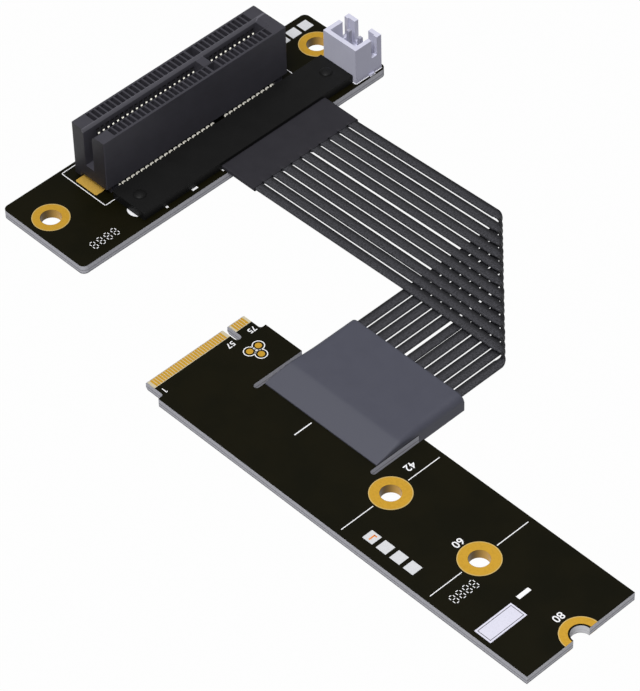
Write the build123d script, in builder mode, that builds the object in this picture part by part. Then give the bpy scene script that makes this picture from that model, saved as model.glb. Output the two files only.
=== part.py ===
import os
from math import atan2, cos, degrees, pi, sin, sqrt

from build123d import *

os.makedirs("parts", exist_ok=True)

# Driving dimensions, in millimetres
board_thickness = 1.6          # both boards
underside_gap = 0.2            # solder and boot under the boards, down to the table
print_thickness = 0.035        # copper, gold and pads that stand on a board face
near = 0.05                    # how close an edge is to the place it is looked for

# Drive board: the long narrow board with the edge fingers
drive_length = 80.0
drive_width = 22.0
tab_length = 4.0
tab_width = 19.85
tab_bevel = 0.35
shoulder_radius = 0.5
key_offset = 6.125             # key notch, from the board's middle line
key_width = 1.2
key_depth = 3.5
finger_pitch = 0.5
finger_width = 0.35
finger_length = 1.75
finger_setback = 0.25          # from the tab's tip
finger_span = 18.5             # first to last finger on the upper side
drive_hole_near = 42.0         # from the tab's tip
drive_hole_far = 60.0
drive_hole_radius = 1.65
drive_ring_radius = 3.3
end_ring_inner_radius = 1.93   # half ring round the half hole, on each face
test_pad_radius = 0.42
test_pad_spots = ((6.45, 5.35), (6.45, 7.15), (8.05, 6.25))
relief_width = 1.0             # the two cuts beside the boot
relief_depth = 10.3
relief_clearance = 0.05        # between a cut's wall and the boot

# Slot board: the short board with the card slot
slot_board_width = 19.0
slot_board_length = 65.5
slot_board_corner = 1.0
slot_hole_across = 6.96
slot_hole_near_inset = 4.0
slot_hole_far_inset = 4.0
slot_hole_radius = 1.7
slot_ring_radius = 3.06
plating = 0.1

# Card slot
housing_width = 7.5
housing_length = 39.0
housing_height = 11.0
housing_standoff = 0.5
housing_across = 5.96          # its middle line, from the board's back edge
housing_start = 13.35          # its open end, from the board's near end
housing_edge = 0.2
slot_width = 2.0
slot_floor = 3.6
slot_end_wall = 2.2
lead_in_width = 0.6
lead_in_depth = 0.55
contact_pitch = 1.0
long_row = 21
short_row = 11
key_gap = 3.0                  # last long contact to first short contact
key_wall = 1.6
first_contact = 3.0            # from the housing's open end
channel_width = 0.7
channel_inner = 1.66           # from the slot's middle plane
channel_outer = 3.33
window_bottom = 3.9
window_top = 9.5
wide_notch_length = 1.5
wide_notch_depth = 2.0
peg_diameter = 1.6
peg_inset = 1.85
peg_clearance = 0.1
contact_width = 0.5
contact_thickness = 0.2
contact_reach = 4.38           # foot's end, from the slot's middle plane
contact_stem = 2.6
contact_bulge = 0.6
contact_bulge_height = 8.2
contact_tip = 1.25
contact_tip_height = 9.25
contact_stem_top = 4.6
foot_pad_length = 1.2
end_pad_length = 4.9
end_pad_width = 2.1
end_pad_across = 5.81
end_pad_along = 13.3
end_pad_corner = 0.3

# Two-pin header
header_width = 7.4
header_depth = 5.75
header_height = 7.0
header_across = 14.79
header_start = 59.15
header_wall = 0.8
header_floor = 2.4
header_side_slot = 1.2
header_side_slot_start = 3.55
header_side_slot_floor = 3.3
header_back_gap = 3.1
header_back_floor = 3.0
header_nub = 0.35               # small foot beside each pin
header_nub_length = 1.05
header_nub_corner = 0.28
pin_pitch = 2.5
pin_size = 0.64
pin_hole_radius = 0.5
pin_setback = 3.4              # pin row, from the header's solid wall
pin_top = 6.5
pin_tip = 0.15
solder_radius = 0.85

# Cover over the cable's solder joints
cover_across = 10.46
cover_width = 7.4
cover_end = 59.12               # its end at the header, from the board's near end
cover_length = 45.35
cover_height = 1.5
cover_wall = 0.7
cover_corner = 0.2
cover_edge = 0.05
cover_clearance = 0.01
rivet_inset = 2.47
rivet_radius = 0.7
rivet_head_radius = 1.1
rivet_head_height = 0.26
rivet_head_edge = 0.15

# Ribbon: eleven flat strips, folded once at 45 degrees
strip_count = 11
strip_pitch = 2.05
strip_slit = 0.28
wide_slit_after = 5            # the slit after this strip is wider
wide_slit_extra = 0.16
strip_thickness = 0.55
fold_radius = 0.7              # to the middle of the strip
fold_steps = 12
upper_run = 48.11              # slot board's edge to the fold, middle strip
lower_run = 28.65              # fold to the drive board's edge, middle strip
ribbon_on_slot = 41.6          # middle strip, from the slot board's near end
ribbon_on_drive = 24.9         # middle strip, from the drive board's tip
under_sleeve = 0.02            # between the slot board and the sleeve
under_ribbon = 0.255           # boot between the drive board and the strips
strip_on_slot = 5.49           # strip's end, inside the slot board's edge
strip_on_drive = 2.6           # strip's end, inside the drive board's edge

# Sleeve on the slot board and boot on the drive board
sleeve_skin = 0.1
sleeve_side = 0.2
sleeve_clearance = 0.03
sleeve_corner = 0.3
sleeve_out = 6.26              # past the slot board's edge
sleeve_in = 6.09               # inside the slot board's edge
boot_width = 23.75
boot_shift = -0.07             # its middle line, from the ribbon's
boot_inset = 8.7               # over the drive board, from its long edge
boot_out = 9.6                 # past the drive board's edge
boot_top = 1.3
boot_lip = 0.22
boot_ramp = 4.9
boot_lip_edge = 0.12
boot_edge = 1.0
boot_bay = 3.4                 # room for the joints, along the strips
boot_bay_lap = 0.9             # of it, over the strips' ends
boot_bay_height = 0.75

# Wire ends and their pads
wires_per_strip = 3
wire_radius = 0.12
wire_spacing = 0.55
wire_reach = 1.3
wire_drop = 0.1                # wires leave the strips below their middle
cable_pad_length = 1.0
cable_pad_width = 0.36

# Heights
board_bottom = underside_gap
board_top = board_bottom + board_thickness
upper_lift = under_sleeve + sleeve_skin + sleeve_clearance + strip_thickness / 2
lower_lift = under_ribbon + strip_thickness / 2
upper_height = board_top + upper_lift
lower_height = board_top + lower_lift
fold_height = lower_height + fold_radius
fold_top = fold_height + fold_radius

# Places: the origin is the middle of the two boards' outline, on the table
fold_shift = pi * fold_radius / sqrt(2)
span_x = slot_board_width + upper_run + fold_shift + drive_length - ribbon_on_drive
span_y = drive_width + lower_run + fold_shift + slot_board_length - ribbon_on_slot
slot_x = -span_x / 2                                  # back edge of the slot board
slot_y = span_y / 2 - slot_board_length               # near end of the slot board
slot_front = slot_x + slot_board_width
drive_x = span_x / 2 - drive_length                   # tip of the edge tab
drive_y = -span_y / 2 + drive_width / 2               # middle line of the drive board
drive_edge = drive_y + drive_width / 2
ribbon_x = drive_x + ribbon_on_drive
boot_x = ribbon_x + boot_shift
ribbon_y = slot_y + ribbon_on_slot
strip_width = strip_pitch - strip_slit
ribbon_width = strip_count * strip_pitch - strip_slit
middle_strip = (strip_count + 1) / 2

housing_x = slot_x + housing_across
housing_y = slot_y + housing_start + housing_length / 2
housing_bottom = board_top + housing_standoff
housing_top = board_top + housing_height
row_start = slot_y + housing_start + first_contact
short_start = row_start + (long_row - 1) * contact_pitch + key_gap
contact_rows = [row_start + i * contact_pitch for i in range(long_row)]
contact_rows += [short_start + i * contact_pitch for i in range(short_row)]
key_y = short_start - key_gap / 2
header_x = slot_x + header_across
header_y = slot_y + header_start + header_depth / 2
pin_y = slot_y + header_start + pin_setback
cover_x = slot_x + cover_across + cover_width / 2
cover_y = slot_y + cover_end - cover_length / 2
rivet_spots = [(cover_x, cover_y + s * (cover_length / 2 - rivet_inset)) for s in (-1, 1)]
pin_spots = [(header_x + s * pin_pitch / 2, pin_y) for s in (-1, 1)]
peg_spots = [(housing_x, housing_y + s * (housing_length / 2 - peg_inset)) for s in (-1, 1)]
slot_hole_spots = [
    (slot_x + slot_hole_across, slot_y + slot_hole_near_inset),
    (slot_x + slot_hole_across, slot_y + slot_board_length - slot_hole_far_inset),
]
drive_hole_spots = [(drive_x + drive_hole_near, drive_y), (drive_x + drive_hole_far, drive_y)]
drive_end = (drive_x + drive_length, drive_y)


def save(builder, name):
    builder.part.label = name
    export_step(builder.part, f"parts/{name}.step")


# Slot board, with its rounded corners and every hole that a part passes through
with BuildPart() as slot_board:
    with BuildSketch(Plane.XY.offset(board_bottom)):
        with Locations((slot_x + slot_board_width / 2, slot_y + slot_board_length / 2)):
            RectangleRounded(slot_board_width, slot_board_length, slot_board_corner)
        with Locations(*slot_hole_spots):
            Circle(slot_hole_radius + plating, mode=Mode.SUBTRACT)
        with Locations(*peg_spots):
            Circle(peg_diameter / 2 + peg_clearance, mode=Mode.SUBTRACT)
        with Locations(*pin_spots):
            Circle(pin_hole_radius, mode=Mode.SUBTRACT)
        with Locations(*rivet_spots):
            Circle(rivet_radius, mode=Mode.SUBTRACT)
    extrude(amount=board_thickness)
save(slot_board, "slot_board")

# Drive board: tab, key notch, reliefs beside the boot, holes and the half hole at its end
with BuildPart() as drive_board:
    with BuildSketch(Plane.XY.offset(board_bottom)):
        with Locations((drive_x + (tab_length + drive_length) / 2, drive_y)):
            Rectangle(drive_length - tab_length, drive_width)
        with Locations((drive_x + tab_length / 2 + shoulder_radius, drive_y)):
            Rectangle(tab_length + 2 * shoulder_radius, tab_width)
        with Locations((drive_x + key_depth / 2 - key_width / 2, drive_y + key_offset)):
            SlotOverall(key_depth + key_width, key_width, mode=Mode.SUBTRACT)
        relief_start = drive_edge - relief_depth + relief_width / 2
        for side in (-1, 1):
            relief_x = boot_x + side * ((boot_width + relief_width) / 2 + relief_clearance)
            with Locations((relief_x, relief_start)):
                Circle(relief_width / 2, mode=Mode.SUBTRACT)
            with Locations((relief_x, relief_start + relief_depth / 2)):
                Rectangle(relief_width, relief_depth, mode=Mode.SUBTRACT)
        with Locations(*drive_hole_spots):
            Circle(drive_hole_radius + plating, mode=Mode.SUBTRACT)
        with Locations(drive_end):
            Circle(drive_hole_radius, mode=Mode.SUBTRACT)
    extrude(amount=board_thickness)
    corners = drive_board.edges().filter_by(Axis.Z)
    shoulders = corners.filter_by_position(
        Axis.X, drive_x + tab_length - near, drive_x + tab_length + near)
    fillet([e for e in shoulders if abs(e.center().Y - drive_y) < tab_width / 2 + near], shoulder_radius)
    tips = drive_board.edges().filter_by(Axis.Y).filter_by_position(Axis.X, drive_x - near, drive_x + near)
    chamfer(tips, tab_bevel)
save(drive_board, "drive_board")


# Plated holes: a barrel through the board with a ring on each face
def plated_holes(spots, hole_radius, ring_radius):
    with BuildPart() as plated:
        for z, height in ((board_bottom - print_thickness, print_thickness), (board_top, print_thickness)):
            with BuildSketch(Plane.XY.offset(z)):
                with Locations(*spots):
                    Circle(ring_radius)
                    Circle(hole_radius, mode=Mode.SUBTRACT)
            extrude(amount=height)
        with BuildSketch(Plane.XY.offset(board_bottom)):
            with Locations(*spots):
                Circle(hole_radius + plating)
                Circle(hole_radius, mode=Mode.SUBTRACT)
        extrude(amount=board_thickness)
    return plated


save(plated_holes(slot_hole_spots, slot_hole_radius, slot_ring_radius), "slot_board_hole_plating")
save(plated_holes(drive_hole_spots, drive_hole_radius, drive_ring_radius), "drive_board_hole_plating")

# Half ring on each face round the half hole; the hole's wall is bare
with BuildPart() as end_rings:
    for z in (board_bottom - print_thickness, board_top):
        with BuildSketch(Plane.XY.offset(z)):
            with Locations(drive_end):
                Circle(drive_ring_radius)
                Circle(end_ring_inner_radius, mode=Mode.SUBTRACT)
            with Locations((drive_end[0] + drive_ring_radius, drive_end[1])):
                Rectangle(2 * drive_ring_radius, 2 * drive_ring_radius, mode=Mode.SUBTRACT)
        extrude(amount=print_thickness)
save(end_rings, "drive_board_end_plating")


# Edge fingers: one row on each face, half a pitch apart, none at the key notch
def finger_row(z, count, name):
    first = -(count - 1) * finger_pitch / 2
    rows = [first + i * finger_pitch for i in range(count)]
    clear = key_width / 2 + finger_width / 2 + finger_pitch / 2
    rows = [y for y in rows if abs(y - key_offset) > clear]
    with BuildPart() as fingers:
        with BuildSketch(Plane.XY.offset(z)):
            with Locations(*[(drive_x + tab_bevel + finger_length / 2 + finger_setback / 2, drive_y + y)
                             for y in rows]):
                Rectangle(finger_length - finger_setback, finger_width)
        extrude(amount=print_thickness)
    save(fingers, name)


upper_fingers = round(finger_span / finger_pitch) + 1
finger_row(board_top, upper_fingers, "edge_fingers_upper")
finger_row(board_bottom - print_thickness, upper_fingers - 1, "edge_fingers_lower")

with BuildPart() as test_pads:
    with BuildSketch(Plane.XY.offset(board_top)):
        with Locations(*[(drive_x + a, drive_y + b) for a, b in test_pad_spots]):
            Circle(test_pad_radius)
    extrude(amount=print_thickness)
save(test_pads, "drive_board_test_pads")

# Card slot housing: open at its near end, with a channel for every contact
with BuildPart() as slot_housing:
    with BuildSketch(Plane.XY.offset(housing_bottom)):
        with Locations((housing_x, housing_y)):
            Rectangle(housing_width, housing_length)
    extrude(amount=housing_top - housing_bottom)
    fillet(slot_housing.edges().filter_by(Axis.Z), housing_edge)
    slot_length = housing_length - slot_end_wall
    slot_middle = (housing_x, slot_y + housing_start + slot_length / 2)
    with BuildSketch(Plane.XY.offset(board_top + slot_floor)):
        with Locations(slot_middle):
            Rectangle(slot_width, slot_length)
    extrude(amount=housing_height - slot_floor, mode=Mode.SUBTRACT)
    with BuildSketch(Plane.XY.offset(housing_top - lead_in_depth)):
        with Locations(slot_middle):
            Rectangle(slot_width, slot_length)
    extrude(amount=lead_in_depth, taper=-degrees(atan2(lead_in_width, lead_in_depth)), mode=Mode.SUBTRACT)
    channel_middle = (channel_inner + channel_outer) / 2
    channel_spots = [(housing_x + s * channel_middle, y) for y in contact_rows for s in (-1, 1)]
    with BuildSketch(Plane.XY.offset(housing_bottom)):
        with Locations(*channel_spots):
            Rectangle(channel_outer - channel_inner, channel_width)
    extrude(amount=housing_top - housing_bottom, mode=Mode.SUBTRACT)
    with BuildSketch(Plane.XY.offset(board_top + window_bottom)):
        with Locations(*[(housing_x, y) for y in contact_rows]):
            Rectangle(2 * channel_inner, channel_width)
    extrude(amount=window_top - window_bottom, mode=Mode.SUBTRACT)
    with BuildSketch(Plane.XY.offset(board_top + slot_floor)):
        with Locations((housing_x, key_y)):
            Rectangle(slot_width, key_wall)
    extrude(amount=housing_height - lead_in_depth - slot_floor)
    with BuildSketch(Plane.XY.offset(housing_top - wide_notch_depth)):
        with Locations(*[(housing_x + s * channel_middle, key_y) for s in (-1, 1)]):
            Rectangle(channel_outer - channel_inner, wide_notch_length)
    extrude(amount=wide_notch_depth, mode=Mode.SUBTRACT)
    with BuildSketch(Plane.XY.offset(board_top)):
        with Locations(*peg_spots):
            Rectangle(housing_width - 2 * housing_edge, peg_diameter)
    extrude(amount=housing_standoff)
    with BuildSketch(Plane.XY):
        with Locations(*peg_spots):
            Circle(peg_diameter / 2)
    extrude(amount=board_top)
save(slot_housing, "slot_housing")


# Slot contacts: a foot on the board, a stem in its channel and a spring that bows into the slot
def contact_row(side, name):
    foot = print_thickness + contact_thickness / 2
    with BuildPart() as contact:
        flank = (0, side * contact_width / 2, 0)
        with BuildSketch(Plane(origin=flank, x_dir=(side, 0, 0), z_dir=(0, -side, 0))):
            with BuildLine():
                line = Polyline(
                    (contact_reach, foot),
                    (contact_stem, foot),
                    (contact_stem, contact_stem_top),
                    (contact_bulge + contact_thickness / 2, contact_bulge_height),
                    (contact_tip, contact_tip_height),
                )
                offset(line, amount=contact_thickness / 2, side=Side.BOTH, kind=Kind.INTERSECTION)
            make_face()
        extrude(amount=contact_width)
    with BuildPart() as contacts:
        with Locations(*[(housing_x, y, board_top) for y in contact_rows]):
            add(contact.part)
    save(contacts, name)


contact_row(1, "slot_contacts_front")
contact_row(-1, "slot_contacts_rear")


# Contact pads under the feet of the slot's two rows
with BuildPart() as slot_pads:
    with BuildSketch(Plane.XY.offset(board_top)):
        foot_middle = contact_reach - foot_pad_length / 2
        with Locations(*[(housing_x + s * foot_middle, y) for y in contact_rows for s in (-1, 1)]):
            Rectangle(foot_pad_length, contact_width)
    extrude(amount=print_thickness)
save(slot_pads, "slot_solder_pads")

with BuildPart() as end_pad:
    with BuildSketch(Plane.XY.offset(board_top)):
        with Locations((slot_x + end_pad_across, slot_y + end_pad_along)):
            RectangleRounded(end_pad_length, end_pad_width, end_pad_corner)
    extrude(amount=print_thickness)
save(end_pad, "slot_end_pad")

# Header housing: a solid wall, side slots beside the back wall and a gap between two posts
with BuildPart() as header_housing:
    with BuildSketch(Plane.XY.offset(board_top)):
        with Locations((header_x, header_y)):
            Rectangle(header_width, header_depth)
    extrude(amount=header_height)
    with BuildSketch(Plane.XY.offset(board_top + header_floor)):
        with Locations((header_x, header_y)):
            Rectangle(header_width - 2 * header_wall, header_depth - 2 * header_wall)
    extrude(amount=header_height - header_floor, mode=Mode.SUBTRACT)
    side_slot_y = slot_y + header_start + header_side_slot_start + header_side_slot / 2
    with BuildSketch(Plane.XY.offset(board_top + header_side_slot_floor)):
        with Locations((header_x, side_slot_y)):
            Rectangle(header_width, header_side_slot)
    extrude(amount=header_height - header_side_slot_floor, mode=Mode.SUBTRACT)
    with BuildSketch(Plane.XY.offset(board_top + header_back_floor)):
        with Locations((header_x, header_y + (header_depth - header_wall) / 2)):
            Rectangle(header_back_gap, header_wall)
    extrude(amount=header_height - header_back_floor, mode=Mode.SUBTRACT)
    with BuildSketch(Plane.XY.offset(board_top)):
        with Locations(*[(header_x + s * header_width / 2, pin_y) for s in (-1, 1)]):
            RectangleRounded(2 * header_nub, header_nub_length, header_nub_corner)
    extrude(amount=header_nub)
    with BuildSketch(Plane.XY.offset(board_top)):
        with Locations(*pin_spots):
            Rectangle(pin_size, pin_size)
    extrude(amount=header_floor, mode=Mode.SUBTRACT)
save(header_housing, "header_housing")

with BuildPart() as header_pins:
    with BuildSketch(Plane.XY):
        with Locations(*pin_spots):
            Rectangle(pin_size, pin_size)
    extrude(amount=board_top + pin_top)
    chamfer(header_pins.faces().group_by(Axis.Z)[-1].edges(), pin_tip)
save(header_pins, "header_pins")

with BuildPart() as header_solder:
    with BuildSketch(Plane.XY):
        with Locations(*pin_spots):
            Circle(solder_radius)
            Rectangle(pin_size, pin_size, mode=Mode.SUBTRACT)
    extrude(amount=board_bottom)
save(header_solder, "header_solder")

# Cover: a shallow tray, upside down, with a mouth for the sleeve
sleeve_width = ribbon_width + 2 * (sleeve_side + sleeve_clearance)
sleeve_height = strip_thickness + 2 * (sleeve_skin + sleeve_clearance)
sleeve_bottom = upper_height - sleeve_height / 2
cover_room = sleeve_bottom + sleeve_height - board_top + cover_clearance
with BuildPart() as cover_plate:
    with BuildSketch(Plane.XY.offset(board_top)):
        with Locations((cover_x, cover_y)):
            RectangleRounded(cover_width, cover_length, cover_corner)
    extrude(amount=cover_height)
    chamfer(cover_plate.edges().group_by(Axis.Z)[-1], cover_edge)
    with BuildSketch(Plane.XY.offset(board_top)):
        with Locations((cover_x, cover_y)):
            Rectangle(cover_width - 2 * cover_wall, cover_length - 2 * cover_wall)
        with Locations((cover_x + cover_width / 2, ribbon_y)):
            Rectangle(3 * cover_wall, sleeve_width)
    extrude(amount=cover_room, mode=Mode.SUBTRACT)
    with BuildSketch(Plane.XY.offset(board_top)):
        with Locations(*rivet_spots):
            Circle(rivet_radius + cover_wall)
    extrude(amount=cover_room)
    with BuildSketch(Plane.XY.offset(board_top)):
        with Locations(*rivet_spots):
            Circle(rivet_radius)
    extrude(amount=cover_height, mode=Mode.SUBTRACT)
save(cover_plate, "cover_plate")

with BuildPart() as cover_rivets:
    with BuildSketch(Plane.XY):
        with Locations(*rivet_spots):
            Circle(rivet_radius)
    extrude(amount=board_top + cover_height)
    with BuildSketch(Plane.XY.offset(board_top + cover_height)):
        with Locations(*rivet_spots):
            Circle(rivet_head_radius)
    extrude(amount=rivet_head_height)
    fillet(cover_rivets.edges().group_by(Axis.Z)[-1], rivet_head_edge)
save(cover_rivets, "cover_rivets")

# Sleeve: a flat tube round the ribbon where it leaves the slot board
with BuildPart() as upper_sleeve:
    with BuildSketch(Plane.YZ.offset(slot_front - sleeve_in)):
        with Locations((ribbon_y, upper_height)):
            RectangleRounded(sleeve_width, sleeve_height, sleeve_corner)
            Rectangle(ribbon_width + 2 * sleeve_clearance, strip_thickness + 2 * sleeve_clearance,
                      mode=Mode.SUBTRACT)
    extrude(amount=sleeve_in + sleeve_out)
save(upper_sleeve, "upper_sleeve")

# Boot: clamps the drive board from both faces and closes round the ribbon beyond its edge
boot_start = drive_edge - boot_inset
boot_end = drive_edge + boot_out
with BuildPart() as lower_boot:
    lip = (boot_start, boot_lip, boot_lip_edge)
    crease = (boot_start + boot_ramp, boot_top, boot_edge)
    for y, top, edge in (lip, crease):
        with BuildSketch(Plane.XZ.offset(-y)) as section:
            with Locations((boot_x, board_top + top / 2)):
                Rectangle(boot_width, top)
            fillet(section.vertices().group_by(Axis.Y)[-1], edge)
    loft(ruled=True)
    with BuildSketch(Plane.XZ.offset(-boot_start - boot_ramp)) as section:
        with Locations((boot_x, board_top + boot_top / 2)):
            Rectangle(boot_width, boot_top)
        fillet(section.vertices().group_by(Axis.Y)[-1], boot_edge)
    extrude(amount=-(boot_end - boot_start - boot_ramp))
    with BuildSketch(Plane.XY):
        with Locations((boot_x, (drive_edge + boot_end) / 2)):
            Rectangle(boot_width, boot_out)
    extrude(amount=board_top)
    with BuildSketch(Plane.XY):
        with Locations((boot_x, (boot_start + boot_end) / 2)):
            Rectangle(boot_width, boot_end - boot_start)
    extrude(amount=board_bottom)
    strip_end = drive_edge - strip_on_drive
    with BuildSketch(Plane.XY.offset(lower_height - strip_thickness / 2 - sleeve_clearance)):
        with Locations((ribbon_x, (strip_end + boot_end) / 2)):
            Rectangle(ribbon_width + 2 * sleeve_clearance, boot_end - strip_end)
    extrude(amount=strip_thickness + 2 * sleeve_clearance, mode=Mode.SUBTRACT)
    with BuildSketch(Plane.XY.offset(board_top)):
        with Locations((ribbon_x, strip_end - boot_bay / 2 + boot_bay_lap)):
            Rectangle(ribbon_width + 2 * sleeve_clearance, boot_bay)
    extrude(amount=boot_bay_height, mode=Mode.SUBTRACT)
save(lower_boot, "lower_boot")

# The ribbon's strips: a level start, a rising run, half a turn at 45 degrees and a level return
toward_fold = Vector(1, 0, 0)
fold_axis = Vector(1, -1, 0).normalized()
fold_out = Vector(1, 1, 0).normalized()
up = Vector(0, 0, 1)
fold_line = ribbon_x - fold_shift + ribbon_y          # x + y on the fold's axis


def strip_sections(number):
    """Centre, travel direction and outward normal of each cross-section of one strip."""
    y = ribbon_y + (middle_strip - number) * strip_pitch
    fold_start = Vector(fold_line - y, y, fold_top)
    sections = [
        (Vector(slot_front - strip_on_slot, y, upper_height), toward_fold, up),
        (Vector(slot_front + sleeve_out, y, upper_height), toward_fold, up),
    ]
    for step in range(fold_steps + 1):
        turn = pi * step / fold_steps
        centre = fold_start + fold_axis * (fold_radius * turn)
        centre += fold_out * (fold_radius * sin(turn)) + up * (fold_radius * (cos(turn) - 1))
        travel = fold_axis + fold_out * cos(turn) - up * sin(turn)
        sections.append((centre, travel.normalized(), fold_out * sin(turn) + up * cos(turn)))
    end = sections[-1][0]
    sections.append((Vector(end.X, drive_edge - strip_on_drive, end.Z), Vector(0, -1, 0), -up))
    return sections


def side_trim(number):
    """How much narrower a strip is beside the wide slit, and the shift of its middle."""
    if number == wide_slit_after:
        return wide_slit_extra / 2, wide_slit_extra / 4
    if number == wide_slit_after + 1:
        return wide_slit_extra / 2, -wide_slit_extra / 4
    return 0.0, 0.0


for number in range(1, strip_count + 1):
    sections = strip_sections(number)
    trim, shift = side_trim(number)
    length = sum((b[0] - a[0]).length for a, b in zip(sections, sections[1:]))
    with BuildPart() as strip:
        for centre, travel, normal in sections:
            across = travel.cross(normal)
            with BuildSketch(Plane(origin=centre - across * shift, x_dir=across, z_dir=travel)):
                Rectangle(strip_width - trim, strip_thickness)
        loft(ruled=True)
    save(strip, f"ribbon_strip_{number:02d}")
    share = strip.part.volume / ((strip_width - trim) * strip_thickness * length)
    print(f"strip {number}: length {length:.2f}, volume against section times length {share:.4f}")


# Wire ends from each strip down to a row of pads, one row on each board
def wire_offsets():
    places = []
    for number in range(1, strip_count + 1):
        for wire in range(wires_per_strip):
            places.append((middle_strip - number) * strip_pitch
                          + (wire - (wires_per_strip - 1) / 2) * wire_spacing)
    return places


def wire_row(start, travel, across, name):
    pad_height = board_top + print_thickness + wire_radius
    end = Vector(start.X, start.Y, pad_height) + travel * wire_reach
    reach = end - start
    with BuildPart() as wires:
        with BuildSketch(Plane(origin=start, x_dir=across, z_dir=reach.normalized())):
            with Locations(*[(place, 0) for place in wire_offsets()]):
                Circle(wire_radius)
        extrude(amount=reach.length)
    save(wires, name + "_wire_ends")
    with BuildPart() as pads:
        with BuildSketch(Plane(origin=(end.X, end.Y, board_top), x_dir=across, z_dir=(0, 0, 1))):
            with Locations(*[(place, 0) for place in wire_offsets()]):
                Rectangle(cable_pad_width, cable_pad_length)
        extrude(amount=print_thickness)
    save(pads, name + "_cable_pads")


wire_row(Vector(slot_front - strip_on_slot, ribbon_y, upper_height - wire_drop), Vector(-1, 0, 0),
         Vector(0, 1, 0), "slot_board")
wire_row(Vector(ribbon_x, drive_edge - strip_on_drive, lower_height - wire_drop), Vector(0, -1, 0),
         Vector(1, 0, 0), "drive_board")

print(f"outline {span_x:.2f} x {span_y:.2f}, fold turns at radius {fold_radius}, "
      f"strip pitch {strip_pitch}")
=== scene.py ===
from math import cos, pi, radians, sin, sqrt

import bmesh
import bpy
from mathutils import Matrix, Vector


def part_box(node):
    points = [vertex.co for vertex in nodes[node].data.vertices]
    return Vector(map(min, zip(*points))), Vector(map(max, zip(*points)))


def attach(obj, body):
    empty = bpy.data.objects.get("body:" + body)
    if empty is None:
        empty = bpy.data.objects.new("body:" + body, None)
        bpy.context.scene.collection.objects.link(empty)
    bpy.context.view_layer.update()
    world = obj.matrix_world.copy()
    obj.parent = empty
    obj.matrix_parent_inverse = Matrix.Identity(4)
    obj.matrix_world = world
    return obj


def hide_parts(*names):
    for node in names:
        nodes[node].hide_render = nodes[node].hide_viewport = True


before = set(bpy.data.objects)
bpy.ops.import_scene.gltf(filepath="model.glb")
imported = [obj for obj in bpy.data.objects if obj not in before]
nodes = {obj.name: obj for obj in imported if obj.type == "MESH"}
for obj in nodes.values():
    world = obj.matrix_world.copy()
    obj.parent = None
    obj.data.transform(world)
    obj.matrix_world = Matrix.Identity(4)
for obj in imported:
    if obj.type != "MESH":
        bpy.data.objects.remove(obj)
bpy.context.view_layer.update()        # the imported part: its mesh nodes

mm = 0.001

slotLow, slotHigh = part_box("slot_board")
driveLow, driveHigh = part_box("drive_board")
boardTop = slotHigh.z
boardBottom = slotLow.z
driveMiddle = (driveLow.y + driveHigh.y) / 2


def onSlot(across, along, up=0.0):        # from the slot board's back near corner, in mm
    return Vector((slotLow.x + across * mm, slotLow.y + along * mm, boardTop + up * mm))


def onDrive(along, across, up=0.0):       # from the tab's tip and the board's middle line, in mm
    return Vector((driveLow.x + along * mm, driveMiddle + across * mm, boardTop + up * mm))


def tone(red, green, blue):               # a screen colour, 0 to 255, as the shader wants it
    shares = [c / 255 for c in (red, green, blue)]
    return [((c + 0.055) / 1.055) ** 2.4 if c > 0.04 else c / 12.92 for c in shares] + [1.0]


# places that several pieces and finishes use, in mm
cardSlot = {"middle": 5.96, "near": 13.35, "firstContact": 16.35}
slotHoles = {"spots": ((6.96, 4.0), (6.96, 61.5)), "hole": 1.7, "ring": 3.06}
driveHoles = {"spots": ((42, 0), (60, 0), (80, 0)), "hole": 1.65, "ring": 3.3}
testPads = {"spots": ((6.45, 5.35), (6.45, 7.15), (8.05, 6.25)), "radius": 0.57, "high": 0.035}
bootRamp = 4.9                            # from the boot's lip to its crease


# shader sums
class Value:
    def __init__(self, shade, socket):
        self.shade = shade
        self.socket = socket

    def also(self, output):               # another output of the same node
        return Value(self.shade, self.socket.node.outputs[output])

    def maths(self, operation, first, second=0.0):
        return self.shade.node("ShaderNodeMath", {"operation": operation}, {0: first, 1: second})

    def __add__(self, other):
        return self.maths("ADD", self, other)

    def __sub__(self, other):
        return self.maths("SUBTRACT", self, other)

    def __rsub__(self, other):
        return self.maths("SUBTRACT", other, self)

    def __mul__(self, other):
        return self.maths("MULTIPLY", self, other)

    def __truediv__(self, other):
        return self.maths("DIVIDE", self, other)

    def __mod__(self, other):
        return self.maths("FLOORED_MODULO", self, other)

    def __gt__(self, other):
        return self.maths("GREATER_THAN", self, other)

    def __lt__(self, other):
        return self.maths("LESS_THAN", self, other)

    def __abs__(self):
        return self.maths("ABSOLUTE", self)

    __radd__ = __add__
    __rmul__ = __mul__


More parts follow.
